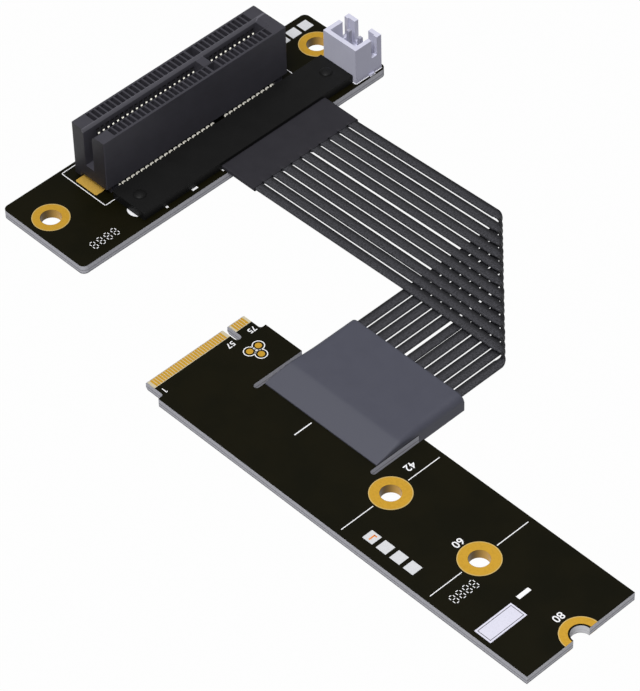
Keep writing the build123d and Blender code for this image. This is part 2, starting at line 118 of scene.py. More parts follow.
class Shade:
    def __init__(self, name, look, kind="materials"):
        self.made = getattr(bpy.data, kind).new(name)
        self.made.use_nodes = True
        self.tree = self.made.node_tree
        self.shader = self.tree.nodes.get("Principled BSDF")
        for socket, value in look.items():
            self.shader.inputs[socket].default_value = value

    def node(self, kind, settings, inputs, output=0):
        made = self.tree.nodes.new(kind)
        for setting, value in settings.items():
            setattr(made, setting, value)
        for socket, value in inputs.items():
            self.feed(made.inputs[socket], value)
        return Value(self, made.outputs[output])

    def feed(self, socket, value):
        if isinstance(value, Value):
            self.tree.links.new(value.socket, socket)
        else:
            socket.default_value = value

    def paint(self, socket, value):
        self.feed(self.shader.inputs[socket], value)

    def place(self):                      # where a point is on the part, in mm
        metres = self.node("ShaderNodeTexCoord", {}, {}, "Object")
        return self.node("ShaderNodeVectorMath", {"operation": "SCALE"}, {0: metres, "Scale": 1 / mm})

    def split(self, vector):
        x = self.node("ShaderNodeSeparateXYZ", {}, {0: vector}, "X")
        return x, x.also("Y"), x.also("Z")

    def larger(self, first, second):
        return self.node("ShaderNodeMath", {"operation": "MAXIMUM"}, {0: first, 1: second})

    def stretch(self, vector, scale):
        return self.node("ShaderNodeVectorMath", {"operation": "MULTIPLY"}, {0: vector, 1: scale})

    def noise(self, vector, scale, detail=2.0, roughness=0.5):
        sockets = {"Vector": vector, "Scale": scale, "Detail": detail, "Roughness": roughness}
        return self.node("ShaderNodeTexNoise", {}, sockets)

    def blend(self, factor, first, second):
        return self.node("ShaderNodeMix", {"data_type": "RGBA"}, {0: factor, 6: first, 7: second}, 2)

    def soft(self, value, low, high):     # 0 below low, 1 above high, smooth between
        sockets = {"Value": value, "From Min": low, "From Max": high}
        return self.node("ShaderNodeMapRange", {"interpolation_type": "SMOOTHSTEP"}, sockets)

    def relief(self, height, depth, strength=1.0):
        sockets = {"Height": height, "Distance": depth * mm, "Strength": strength}
        self.paint("Normal", self.node("ShaderNodeBump", {}, sockets, "Normal"))


# finishes
def boardFinish():
    board = {
        "mask": tone(17, 15, 3), "maskDark": tone(13, 12, 2), "skin": 0.03,
        "laminate": tone(202, 202, 210), "end": tone(232, 232, 240), "endSkin": 0.05,
        "ply": tone(48, 48, 55), "plyStrength": 0.4, "fibreStrength": 0.16,
        "plyHeight": 0.42, "plyHalf": 0.06, "lastPly": 0.14, "plyWaver": 0.06,    # shares of the thickness
        "tab": tone(214, 212, 208), "bareTab": 2.0, "gap": tone(192, 182, 154), "gapFrom": 0.36,
        "notch": tone(236, 236, 238), "notchStrength": 0.7, "notchReach": 1.75, "notchHalf": 1.8,
        "roughness": 0.42, "bareRougher": 0.3,
    }
    thick = (boardTop - boardBottom) / mm
    shade = Shade("solderMask", {"Specular IOR Level": 0.1})
    place = shade.place()
    x, y, z = shade.split(place)
    height = z - boardBottom / mm
    inside = (height > board["skin"]) * (height < thick - board["skin"])
    onTab = (x < driveLow.x / mm + board["bareTab"]) * (x > driveLow.x / mm - 1) * (y < driveHigh.y / mm)
    bare = shade.larger(inside, onTab)
    grain = shade.noise(shade.stretch(place, (1.0, 1.0, 6.0)), 3.2, 4.0, 0.7)
    layer = height / thick + (grain - 0.5) * board["plyWaver"]
    line = (abs(layer - board["plyHeight"]) < board["plyHalf"]) + (layer < board["lastPly"])
    fibre = shade.soft(shade.noise(shade.stretch(place, (2.6, 2.6, 9.0)), 2.2, 3.0, 0.7), 0.35, 0.62)
    # painted light: faces beyond the drive board's end are lighter than its other edges
    face = shade.blend(x > driveHigh.x / mm - board["endSkin"], board["laminate"], board["end"])
    dark = fibre * board["fibreStrength"] + line * inside * board["plyStrength"]
    laminate = shade.blend(dark, face, board["ply"])
    onGap = x > driveLow.x / mm + board["gapFrom"]
    tab = shade.blend(onGap, board["tab"], board["gap"])
    laminate = shade.blend(onTab * (height > thick - board["skin"]), laminate, tab)
    # painted light: the bare laminate in the notch is made lighter against the shade that falls there
    inNotch = (x > driveHigh.x / mm - board["notchReach"]) * (abs(y - driveMiddle / mm) < board["notchHalf"])
    laminate = shade.blend(inNotch * board["notchStrength"], laminate, board["notch"])
    cloud = shade.soft(shade.noise(place, 0.16, 2.0, 0.5), 0.35, 0.7)
    mask = shade.blend(cloud, board["mask"], board["maskDark"])
    shade.paint("Base Color", shade.blend(bare, mask, laminate))
    handled = (shade.noise(place, 1.5) - 0.5) * 0.08
    shade.paint("Roughness", bare * board["bareRougher"] + board["roughness"] + handled)
    shade.relief(grain * bare * 0.6 + shade.noise(place, 9.0, 3.0) * 0.2, 0.02, 0.5)
    return shade.made


def goldFinish():
    gold = {
        "face": tone(232, 180, 58), "deep": tone(206, 152, 42), "rim": tone(236, 208, 138),
        "wallShaded": tone(84, 62, 8), "wall": tone(206, 160, 74), "endPadLit": tone(255, 206, 96),
        "ringEdge": 0.15, "ringLap": 0.05, "holeLap": 0.03, "padLap": 0.01, "rimStrength": 0.75,
        "wearStrength": 0.4, "roughness": 0.27, "brushed": 0.16,
    }
    rings = [(onSlot(*spot), slotHoles) for spot in slotHoles["spots"]]
    rings += [(onDrive(*spot), driveHoles) for spot in driveHoles["spots"]]
    shade = Shade("goldPlate", {"Metallic": 0.55})
    place = shade.place()
    x, y, z = shade.split(place)
    flat = shade.node("ShaderNodeCombineXYZ", {}, {"X": x, "Y": y})
    rim, barrel, turned = 0.0, 0.0, 0.0   # ring edges, hole walls, and how far round a wall the light comes
    for centre, sizes in rings:
        spot = (centre.x / mm, centre.y / mm, 0.0)
        away = shade.node("ShaderNodeVectorMath", {"operation": "DISTANCE"}, {0: flat, 1: spot}, "Value")
        rim = (away > sizes["ring"] - gold["ringEdge"]) * (away < sizes["ring"] + gold["ringLap"]) + rim
        inHole = away < sizes["hole"] + gold["holeLap"]
        barrel = inHole + barrel
        turned = inHole * (x + y - (centre.x + centre.y) / mm) + turned
    brush = shade.noise(place, 2.4, 4.0, 0.6)
    wear = shade.soft(brush, 0.38, 0.72)
    face = shade.blend(wear * gold["wearStrength"], gold["face"], gold["deep"])
    padLow, padHigh = [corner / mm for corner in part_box("slot_end_pad")]
    lap = gold["padLap"]
    onPad = (x > padLow.x - lap) * (x < padHigh.x + lap) * (y > padLow.y - lap) * (y < padHigh.y + lap)
    # painted light: the end pad is made lighter, against the housing's shade
    face = shade.blend(onPad, face, gold["endPadLit"])
    plated = shade.blend(rim * gold["rimStrength"], face, gold["rim"])
    # painted light and shade across each hole's wall
    wall = shade.blend(shade.soft(turned, -1.7, 2.2), gold["wallShaded"], gold["wall"])
    shade.paint("Base Color", shade.blend(barrel, plated, wall))
    shade.paint("Roughness", brush * gold["brushed"] + gold["roughness"])
    shade.relief(shade.noise(place, 6.0, 3.0), 0.006, 0.5)
    return shade.made


def tinFinish():
    tin = {"bright": tone(246, 245, 240), "dull": tone(205, 204, 200), "roughness": 0.2, "grainRougher": 0.2}
    shade = Shade("brightTin", {"Metallic": 0.65})
    place = shade.place()
    grain = shade.noise(place, 5.0, 4.0, 0.6)
    shade.paint("Base Color", shade.blend(grain, tin["bright"], tin["dull"]))
    shade.paint("Roughness", grain * tin["grainRougher"] + tin["roughness"])
    shade.relief(grain, 0.01, 0.4)
    return shade.made


def contactFinish():                      # painted glints on the feet and tips, which glow, and painted shade between them inside the slot
    contact = {
        "bright": tone(255, 253, 240), "dull": tone(42, 41, 44),
        "tipGlint": tone(150, 149, 142), "footGlint": tone(166, 164, 156),
        "footHigh": 0.5, "footFrom": 2.97, "footTo": 3.31,
        "tipHeight": 8.64, "tipHalf": 0.11, "tipWide": 0.18,
    }
    shade = Shade("contactTin", {"Metallic": 0.1, "Emission Strength": 1.0})
    place = shade.place()
    x, y, z = shade.split(place)
    height = z - boardTop / mm
    first = onSlot(cardSlot["middle"], cardSlot["firstContact"]) / mm
    out = abs(x - first.x)
    foot = (height < contact["footHigh"]) * (out > contact["footFrom"]) * (out < contact["footTo"])
    beside = abs((y - first.y + 0.5) % 1.0 - 0.5)         # from the nearest contact's middle
    tip = (abs(height - contact["tipHeight"]) < contact["tipHalf"]) * (beside < contact["tipWide"])
    lit = shade.larger(tip, foot)
    grain = shade.noise(place, 5.0, 3.0)
    glint = shade.blend(foot, contact["tipGlint"], contact["footGlint"])
    # bright is a painted highlight on tips and feet, dull is painted shade, and the emission is a painted
    # glint
    shade.paint("Base Color", shade.blend(lit, contact["dull"], contact["bright"]))
    shade.paint("Emission Color", shade.blend(lit, (0.0, 0.0, 0.0, 1.0), glint))
    shade.paint("Roughness", grain * 0.2 + 0.25)
    shade.relief(grain, 0.008, 0.4)
    return shade.made


def bootRampLight(shade, x, y, z):            # painted light: its ramp is a little lighter up to its crease
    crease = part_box("lower_boot")[0].y / mm + bootRamp
    return [(shade.soft(y, crease + 0.5, crease - 0.3), tone(77, 78, 88))]


def slotLightAndShade(shade, x, y, z):            # painted shade on its open near end, and a painted highlight on the lead-in on the slot's far side
    leadIn = {"from": -1.37, "to": -0.97, "above": 10.42}
    corner = onSlot(cardSlot["middle"], cardSlot["near"] + 0.02) / mm
    out = x - corner.x
    onLeadIn = (out > leadIn["from"]) * (out < leadIn["to"]) * (z > boardTop / mm + leadIn["above"])
    return [(y < corner.y, tone(39, 38, 43)), (onLeadIn, tone(94, 93, 100))]


def headerSideShade(shade, x, y, z):          # painted shade, a little darker towards the ribbon
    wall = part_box("header_housing")[1].x / mm - 0.4       # the nubs reach out past it
    return [(x > wall, tone(186, 186, 206))]


def mouldedFinish(name, face, shadow, roughness, depth=0.012, specular=0.4, paintedLight=None):
    shade = Shade(name, {"Specular IOR Level": specular})
    place = shade.place()
    # the masks and tones passed in here paint light and shade onto the moulding
    for where, paintedTone in paintedLight(shade, *shade.split(place)) if paintedLight else ():
        face, shadow = shade.blend(where, face, paintedTone), shade.blend(where, shadow, paintedTone)
    cloud = shade.soft(shade.noise(place, 0.35, 3.0, 0.55), 0.3, 0.75)
    spark = shade.noise(place, 11.0, 3.0, 0.7)
    flow = shade.noise(shade.stretch(place, (0.5, 0.16, 0.9)), 1.0, 2.0)
    shade.paint("Base Color", shade.blend(cloud * 0.6 + (spark - 0.5) * 0.5, face, shadow))
    shade.paint("Roughness", roughness + (flow - 0.5) * 0.12 + (spark - 0.5) * 0.1)
    shade.relief(spark + flow * 0.4, depth, 0.6)
    return shade.made


def jacketFinish():
    jacket = {
        # edge is the tone of the painted shade along one side and round the fold
        "face": tone(67, 67, 72), "dark": tone(25, 25, 28), "edge": tone(12, 12, 14),
        "thread": 0.3, "threadStrength": 0.25, "speckStrength": 0.7,
        "sideShadeFrom": -0.15, "sideShadeTo": 0.58, "sideShadeStrength": 0.75,
        "foldFrom": 0.72, "foldTo": 0.95, "foldShade": 0.85, "roughness": 0.62,
    }
    shade = Shade("ribbonJacket", {"Specular IOR Level": 0.25})
    weave = shade.node("ShaderNodeAttribute", {"attribute_name": "weave"}, {}, "Vector")
    along, across, turned = shade.split(weave)
    bite = shade.noise(weave, 3.4, 3.0, 0.75)
    row = abs((along / jacket["thread"] + (bite - 0.5) * 0.8) % 1.0 - 0.5)
    column = abs((across / jacket["thread"] + along * 1.6) % 1.0 - 0.5)
    threads = shade.soft(row + column, 0.3, 0.75)
    speck = shade.soft(bite, 0.36, 0.66)
    worn = speck * jacket["speckStrength"] + threads * jacket["threadStrength"]
    cloth = shade.blend(worn, jacket["face"], jacket["dark"])
    edge = shade.soft(0.0 - across, jacket["sideShadeFrom"], jacket["sideShadeTo"])     # painted shade, darker towards one side
    cloth = shade.blend(edge * jacket["sideShadeStrength"], cloth, jacket["edge"])
    fold = shade.soft(turned, jacket["foldFrom"], jacket["foldTo"])           # and painted shade round the fold's outside
    shade.paint("Base Color", shade.blend(fold * jacket["foldShade"], cloth, jacket["edge"]))
    shade.paint("Roughness", jacket["roughness"] + (bite - 0.5) * 0.2)
    shade.relief(threads * 0.5 - bite, 0.03, 0.5)
    return shade.made


def printFinish(name, colour):
    thinness, roughness = 0.84, 0.55      # how bright the ink is where it is thin, and how rough
    shade = Shade(name, {"Specular IOR Level": 0.3})
    place = shade.place()
    ink = shade.noise(place, 7.0, 3.0, 0.7)
    thin = [c * thinness for c in colour[:3]] + [1.0]
    shade.paint("Base Color", shade.blend(shade.soft(ink, 0.4, 0.8), colour, thin))
    shade.paint("Roughness", roughness + ink * 0.15)
    shade.relief(ink, 0.006, 0.4)
    return shade.made


finishes = {
    "board": boardFinish(),
    "gold": goldFinish(),
    "tin": tinFinish(),
    "contact": contactFinish(),
    "slot": mouldedFinish("slotPlastic", tone(62, 61, 68), tone(56, 55, 61), 0.5, 0.008, 0.25, slotLightAndShade),
    "header": mouldedFinish("headerPlastic", tone(207, 207, 224), tone(198, 198, 216), 0.42, 0.006,
                            0.4, headerSideShade),
    "pin": mouldedFinish("pinMetal", tone(176, 176, 192), tone(140, 140, 156), 0.35, 0.004, 0.6),
    "cover": mouldedFinish("coverPlastic", tone(22, 22, 22), tone(18, 18, 18), 0.5, 0.006, 0.12),
    "sleeve": mouldedFinish("sleeveFilm", tone(44, 43, 48), tone(39, 38, 43), 0.55, 0.008, 0.15),
    "boot": mouldedFinish("bootRubber", tone(72, 73, 84), tone(68, 69, 80), 0.5, 0.006, 0.25, bootRampLight),
    "jacket": jacketFinish(),
    "print": printFinish("whitePrint", tone(236, 236, 238)),
    "greyPrint": printFinish("greyPrint", tone(206, 207, 210)),
    "labelPrint": printFinish("labelPrint", tone(212, 211, 226)),
    "orangePrint": printFinish("orangePrint", tone(222, 130, 52)),
    "darkPrint": printFinish("darkPrint", tone(30, 30, 34)),
}
print("finishes made")

nodeFinishes = {
    "slot_board": "board", "drive_board": "board",
    "slot_board_hole_plating": "gold", "drive_board_hole_plating": "gold",
    "drive_board_end_plating": "gold", "edge_fingers_upper": "gold", "edge_fingers_lower": "gold",
    "drive_board_test_pads": "gold", "slot_end_pad": "gold",
    "slot_contacts_front": "contact", "slot_contacts_rear": "contact", "slot_solder_pads": "contact",
    "header_pins": "pin", "header_solder": "tin",
    "slot_board_wire_ends": "tin", "slot_board_cable_pads": "tin",
    "drive_board_wire_ends": "tin", "drive_board_cable_pads": "tin",
    "slot_housing": "slot", "header_housing": "header",
    "cover_plate": "cover", "cover_rivets": "cover",
    "upper_sleeve": "sleeve", "lower_boot": "boot",
}
for nodeName, finish in nodeFinishes.items():
    nodes[nodeName].data.materials.clear()
    nodes[nodeName].data.materials.append(finishes[finish])
print("CAD pieces dressed")


# pieces made here
def addPiece(name, shape, finish, replaced=(), sharpAngle=35.0):
    bmesh.ops.remove_doubles(shape, verts=shape.verts, dist=1e-7)
    bmesh.ops.recalc_face_normals(shape, faces=shape.faces)
    for face in shape.faces:
        face.smooth = True
    for edge in shape.edges:
        edge.smooth = len(edge.link_faces) == 2 and edge.calc_face_angle(0.0) < radians(sharpAngle)
    mesh = bpy.data.meshes.new(name)
    shape.to_mesh(mesh)
    shape.free()
    mesh.materials.append(finishes[finish])
    piece = bpy.data.objects.new(name, mesh)
    bpy.context.scene.collection.objects.link(piece)
    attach(piece, "root")
    if replaced:
        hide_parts(*replaced)
    return piece


# the camera, where the photograph was taken from: in mm from the tab's tip, the drive board's middle
# line and its face, and in degrees
viewpoint = {
    "place": (326.227, -276.253, 431.807),
    "azimuth": 137.208, "elevation": 45.335, "roll": -1.700, "lens": 210.288,
}


def addCamera():
    camera = bpy.data.cameras.new("camera")
    camera.lens = viewpoint["lens"]
    camera.sensor_width = 36.0
    camera.clip_start = 0.01
    camera.clip_end = 20.0
    turn, tilt = radians(viewpoint["azimuth"]), radians(viewpoint["elevation"])
    forward = Vector((cos(turn) * cos(tilt), sin(turn) * cos(tilt), -sin(tilt)))
    roll = Matrix.Rotation(radians(viewpoint["roll"]), 3, "Z")
    aim = forward.to_track_quat("-Z", "Y").to_matrix() @ roll
    holder = bpy.data.objects.new("camera", camera)
    holder.matrix_world = Matrix.Translation(onDrive(*viewpoint["place"])) @ aim.to_4x4()
    bpy.context.scene.collection.objects.link(holder)
    bpy.context.scene.camera = holder


addCamera()


# the ribbon's eleven strips, sizes in mm
ribbon = {
    "count": 11, "pitch": 2.05, "slit": 0.3, "wideAfter": 5, "wideExtra": 0.14,
    "thick": 0.55, "edgeRound": 0.27, "crown": 0.01,
    "foldRadius": 0.7, "onSlot": 41.6, "onDrive": 24.9,
    "sleeveOut": 6.26, "mouthLap": 0.6, "inSlot": 5.49, "inDrive": 2.6,
    "upperLift": 0.425, "lowerLift": 0.53, "length": 87.93, "pathParts": 14,
    "weaveStep": 7.3,                     # so that no two strips show the same weave
    "sway": {                             # how far a strip strays at its start, middle and end, in mm
        6: (0.0, 0.0, 0.02, 0.14, 0.14), 9: (0.0, 0.05, 0.13, 0.03, 0.0), 3: (0.0, 0.02, 0.04, 0.0, -0.04),
    },
}
foldAxis = Vector((1, -1, 0)).normalized()
foldOut = Vector((1, 1, 0)).normalized()
up = Vector((0, 0, 1))


def stripRoute(number):
    r = ribbon["foldRadius"] * mm
    y = slotLow.y + (ribbon["onSlot"] + (6 - number) * ribbon["pitch"]) * mm
    foldLine = driveLow.x + ribbon["onDrive"] * mm - pi * r / sqrt(2) + slotLow.y + ribbon["onSlot"] * mm
    upper = boardTop + ribbon["upperLift"] * mm
    lower = boardTop + ribbon["lowerLift"] * mm
    mouth = slotHigh.x + ribbon["sleeveOut"] * mm
    foldStart = Vector((foldLine - y, y, lower + 2 * r))
    foldEnd = foldStart + foldAxis * pi * r - up * 2 * r
    slope = (foldStart.z - upper) / (foldStart.x - mouth)
    lap = ribbon["mouthLap"] * mm
    turns = []
    for step in (1, 3, 5, 7):             # the half turn's corners, round the fold
        angle = step * pi / 8
        reach = r / cos(pi / 8)
        turns.append(foldStart - up * r + foldAxis * r * angle + foldOut * reach * sin(angle)
                     + up * reach * cos(angle))
    return [
        Vector((slotHigh.x - ribbon["inSlot"] * mm, y, upper)),
        Vector((mouth - lap, y, upper)),
        Vector((mouth + lap, y, upper + lap * slope)),
        2 * foldStart - turns[0],
        *turns,
        2 * foldEnd - turns[-1],
        Vector((foldEnd.x, driveHigh.y - ribbon["inDrive"] * mm, foldEnd.z)),
    ], foldStart - up * r


def curveThrough(name, route, resolution):
    curve = bpy.data.curves.new(name, "CURVE")
    curve.dimensions = "3D"
    curve.resolution_u = resolution
    spline = curve.splines.new("NURBS")
    spline.points.add(len(route) - 1)
    for point, place in zip(spline.points, route):
        point.co = (*place, 1.0)
    spline.order_u = 3
    spline.use_endpoint_u = True
    holder = bpy.data.objects.new(name, curve)
    bpy.context.scene.collection.objects.link(holder)
    mesh = bpy.data.meshes.new_from_object(holder)
    path = [v.co.copy() for v in mesh.vertices]
    bpy.data.objects.remove(holder)
    bpy.data.curves.remove(curve)
    bpy.data.meshes.remove(mesh)
    return path


def stripSection(width):
    half, flat, edge = width / 2, ribbon["thick"] / 2, ribbon["edgeRound"]
    section = []
    for side in (1, -1):                  # each long edge is two quarter rounds
        for step in range(-4, 5):
            angle = step * pi / 8
            lift = (flat - edge) * (1 if step > 0 else -1 if step < 0 else 0)
            section.append((side * (half - edge + edge * cos(angle)), side * (lift + edge * sin(angle))))
        for share in (0.5, 0.0, -0.5):
            swell = ribbon["crown"] * (1 - share * share)
            section.append((side * share * (half - edge), side * (flat + swell)))
    return section


def addStrip(number):
    route, foldCentre = stripRoute(number)
    path = curveThrough("stripRoute", route, ribbon["pathParts"])
    trim = ribbon["wideExtra"] / 2 if number in (ribbon["wideAfter"], ribbon["wideAfter"] + 1) else 0.0
    shift = {ribbon["wideAfter"]: trim / 2, ribbon["wideAfter"] + 1: -trim / 2}.get(number, 0.0)
    section = stripSection(ribbon["pitch"] - ribbon["slit"] - trim)
    shape = bmesh.new()
    weave = shape.verts.layers.float_vector.new("weave")
    ring = [shape.verts.new((a, b, 0)) for a, b in section]
    edges = [shape.edges.new((p, q)) for p, q in zip(ring, ring[1:] + ring[:1])]
    travelled = 0.0
    for i, point in enumerate(path):
        before, after = path[max(i - 1, 0)], path[min(i + 1, len(path) - 1)]
        travel = (after - before).normalized()
        away = point - foldCentre
        out, height = away.dot(foldOut), away.z
        normal = foldOut * out + up * height
        if out <= 0:                      # flat: face up before the fold, face down after it
            normal = up * (1 if travel.x > 0.9 else -1)
        across = travel.cross(normal).normalized()
        normal = across.cross(travel).normalized()
        if i:
            travelled += (point - path[i - 1]).length / mm
            made = bmesh.ops.extrude_edge_only(shape, edges=edges)["geom"]
            ring = [next(e.other_vert(v) for e in v.link_edges if e.other_vert(v) in made) for v in ring]
            edges = [e for e in made if isinstance(e, bmesh.types.BMEdge)]
        sways = ribbon["sway"].get(number, (0.0, 0.0))
        reach = min(0.999, travelled / ribbon["length"]) * (len(sways) - 1)
        stray = sways[int(reach)] + (sways[int(reach) + 1] - sways[int(reach)]) * (reach % 1)
        for vert, (a, b) in zip(ring, section):
            vert.co = point + across * (a - shift + stray) * mm + normal * b * mm
            turned = max(0.0, out) / (ribbon["foldRadius"] * mm)
            vert[weave] = (travelled + number * ribbon["weaveStep"], a, turned)
    bmesh.ops.holes_fill(shape, edges=[e for e in shape.edges if e.is_boundary], sides=0)
    name = f"ribbonStrip{number:02d}"
    piece = addPiece(name, shape, "jacket", [f"ribbon_strip_{number:02d}"], 50.0)


for number in range(1, ribbon["count"] + 1):
    addStrip(number)
print("ribbon strips made")


# small pieces, in mm: test pads, upper edge fingers, the cover's round rivet heads and solder beads
def addBox(shape, low, high):
    made = bmesh.ops.create_cube(shape, size=1.0)["verts"]
    bmesh.ops.scale(shape, vec=high - low, verts=made)
    bmesh.ops.translate(shape, vec=(low + high) / 2, verts=made)


def addPads():
    radius, high = testPads["radius"], testPads["high"]
    shape = bmesh.new()
    for along, across in testPads["spots"]:
        made = bmesh.ops.create_cone(shape, cap_ends=True, segments=40, radius1=radius * mm,
                                     radius2=(radius - 0.02) * mm, depth=high * mm)["verts"]
        bmesh.ops.translate(shape, vec=onDrive(along, across, high / 2), verts=made)
    addPiece("testPads", shape, "gold", ["drive_board_test_pads"])


def addFingers():
    fingers = {
        "count": 38, "pitch": 0.5, "wide": 0.37, "from": 0.38, "to": 1.9, "high": 0.035,
        "key": 6.125, "keyClear": 1.0,
    }
    half = fingers["wide"] / 2
    shape = bmesh.new()
    for number in range(fingers["count"]):
        across = (number - (fingers["count"] - 1) / 2) * fingers["pitch"]
        if abs(across - fingers["key"]) > fingers["keyClear"]:
            addBox(shape, onDrive(fingers["from"], across - half),
                   onDrive(fingers["to"], across + half, fingers["high"]))
    addPiece("edgeFingersUpper", shape, "gold", ["edge_fingers_upper"])


def addRivets():
    rivet = {
        "head": 1.09, "rise": 0.45, "shaft": 0.7, "sunk": 0.01, "inset": 1.1, "coverTop": 1.5,
        "rings": 8, "parts": 40,
    }
    head, rise, shaft, sunk = [rivet[size] * mm for size in ("head", "rise", "shaft", "sunk")]
    low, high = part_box("cover_rivets")
    shape = bmesh.new()
    for y in (low.y + rivet["inset"] * mm, high.y - rivet["inset"] * mm):
        centre = Vector(((low.x + high.x) / 2, y, boardTop + rivet["coverTop"] * mm))
        foot = low.z - centre.z
        profile = [(0.0, foot), (shaft, foot), (shaft, -sunk), (head, -sunk)]
        for step in range(rivet["rings"] + 1):
            angle = step / rivet["rings"] * pi / 2
            profile.append((head * cos(angle), rise * sin(angle)))
        points = [shape.verts.new(centre + Vector((out, 0, z))) for out, z in profile]
        line = [shape.edges.new(pair) for pair in zip(points, points[1:])]
        bmesh.ops.spin(shape, geom=points + line, cent=centre, axis=up, angle=2 * pi, steps=rivet["parts"],
                       use_merge=True)
    addPiece("coverRivets", shape, "cover", ["cover_rivets"])


def addSolder():                          # a bead on each front contact's foot, under the housing
    solder = {"from": 8.94, "to": 9.26, "half": 0.35, "high": 0.2, "round": 0.07, "footWithin": 0.3}
    low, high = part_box("slot_contacts_front")
    feet = nodes["slot_contacts_front"].data.vertices
    shape = bmesh.new()
    for number in range(round((high.y - low.y) / mm) + 1):
        along = cardSlot["firstContact"] + number
        y = onSlot(0, along).y
        if any(abs(v.co.y - y) < solder["footWithin"] * mm for v in feet):      # none at the key
            addBox(shape, onSlot(solder["from"], along - solder["half"]),
                   onSlot(solder["to"], along + solder["half"], solder["high"]))
    tops = [e for e in shape.edges if max(v.co.z for v in e.verts) > boardTop + solder["high"] / 2 * mm]
    bmesh.ops.bevel(shape, geom=tops, offset=solder["round"] * mm, affect="EDGES", segments=3, profile=0.5,
                    material=-1)
    # the beads take the contacts' painted glint, which glows
    addPiece("slotSolder", shape, "contact")


# the slot housing, with its comb cut up to the lead-in and its underside clear of the contacts' feet
def addHousing():
    housing = {
        "wasLow": 0.5, "low": 1.35, "topFrom": 9.4,
        "moves": ((-1.66, 0.3), (-1.6, 0.3), (-3.33, -0.08)),     # comb, lip and outer end, from the middle
        "footAcross": (2.22, 3.5), "footAlong": (0.01, 1.45), "overlap": 0.05,
    }
    shape = bmesh.new()
    shape.from_mesh(nodes["slot_housing"].data)
    middle = onSlot(cardSlot["middle"], 0).x
    for vert in shape.verts:
        height, out = (vert.co.z - boardTop) / mm, (vert.co.x - middle) / mm
        if abs(height - housing["wasLow"]) < 0.01:
            vert.co.z = boardTop + housing["low"] * mm
        if height > housing["topFrom"]:
            vert.co.x += sum(move for was, move in housing["moves"] if abs(out - was) < 0.01) * mm
    (left, right), (near, far) = housing["footAcross"], housing["footAlong"]
    addBox(shape, onSlot(left, cardSlot["near"] + near, housing["wasLow"]),
           onSlot(right, cardSlot["near"] + far, housing["low"] + housing["overlap"]))
    addPiece("slotHousing", shape, "slot", ["slot_housing"])


addPads()
addFingers()
addRivets()
addSolder()
addHousing()
print("small pieces and housing made")


# the sleeve, in mm: a thin film that dips between the strips at its mouth
sleeve = {
    "skin": 0.1, "dip": 0.16, "bite": 0.34, "dipLength": 1.3, "corner": 0.3, "plainEnd": 0.4,
    "cells": 8, "mouthCuts": 9, "cuts": 17,
}


def addSleeve():
    low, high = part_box("upper_sleeve")
    count, pitch, dipLength = ribbon["count"], ribbon["pitch"] * mm, sleeve["dipLength"] * mm
    middle, centre = (low.y + high.y) / 2, (low.z + high.z) / 2
    shape = bmesh.new()
    addBox(shape, low, high)
    corners = [e for e in shape.edges if abs(e.verts[0].co.x - e.verts[1].co.x) > mm]
    bmesh.ops.bevel(shape, geom=corners, offset=sleeve["corner"] * mm, affect="EDGES", segments=4,
                    profile=0.5, material=-1)
    steps, mouthSteps, restSteps = count * sleeve["cells"], sleeve["mouthCuts"] - 1, sleeve["cuts"] + 1
    rest = high.x - low.x - dipLength
    cuts = [((0, middle + (step / steps - 0.5) * count * pitch, 0), (0, 1, 0)) for step in range(steps + 1)]
    cuts += [((high.x - dipLength * step / mouthSteps, 0, 0), (1, 0, 0)) for step in range(mouthSteps + 1)]
    cuts += [((low.x + rest * step / restSteps, 0, 0), (1, 0, 0)) for step in range(1, restSteps)]
    for spot, normal in cuts:
        bmesh.ops.bisect_plane(shape, geom=shape.verts[:] + shape.edges[:] + shape.faces[:],
                               plane_co=spot, plane_no=normal)
    ends = [f for f in shape.faces if abs(f.normal.x) > 0.9]
    bmesh.ops.delete(shape, geom=ends, context="FACES")
    for vert in shape.verts:
        cell = ((vert.co.y - middle) / pitch + count / 2) % 1.0
        gap = max(0.0, cos(2 * pi * cell)) ** 3
        if abs(vert.co.y - middle) > (count / 2 - sleeve["plainEnd"]) * pitch:
            gap = 0.0                     # no dip outside the outer strips
        near = max(0.0, 1 - (high.x - vert.co.x) / dipLength)
        side = 1 if vert.co.z > centre else -1
        vert.co.z -= side * sleeve["dip"] * mm * gap * near ** 1.5
        vert.co.x -= sleeve["bite"] * mm * gap * near ** 3
    bmesh.ops.recalc_face_normals(shape, faces=shape.faces)
    bmesh.ops.solidify(shape, geom=shape.faces[:], thickness=sleeve["skin"] * mm)
    addPiece("sleeve", shape, "sleeve", ["upper_sleeve"])


addSleeve()
print("sleeve made")


# the boot, in mm: a soft moulding that ramps up from a thin lip and rolls over at its long sides
boot = {
    "lip": 0.22, "top": 1.3, "crease": 0.5, "creaseSoft": 0.12, "least": 0.02,
    "roundStart": 0.12, "roundFull": 1.25, "roundAt": 11.0, "endRound": 0.35, "across": 64, "along": 60,
}


def smooth(share):
    share = min(1.0, max(0.0, share))
    return share * share * (3 - 2 * share)


def bootHeight(distance):                 # of its top above the board, in mm, from its lip
    ramp = boot["lip"] + (boot["top"] - boot["lip"]) * distance / bootRamp
    blend = boot["crease"]
    gap = (ramp - boot["top"]) / blend
    return boot["top"] + blend * (gap - sqrt(gap * gap + boot["creaseSoft"])) / 2 if gap > -6 else ramp


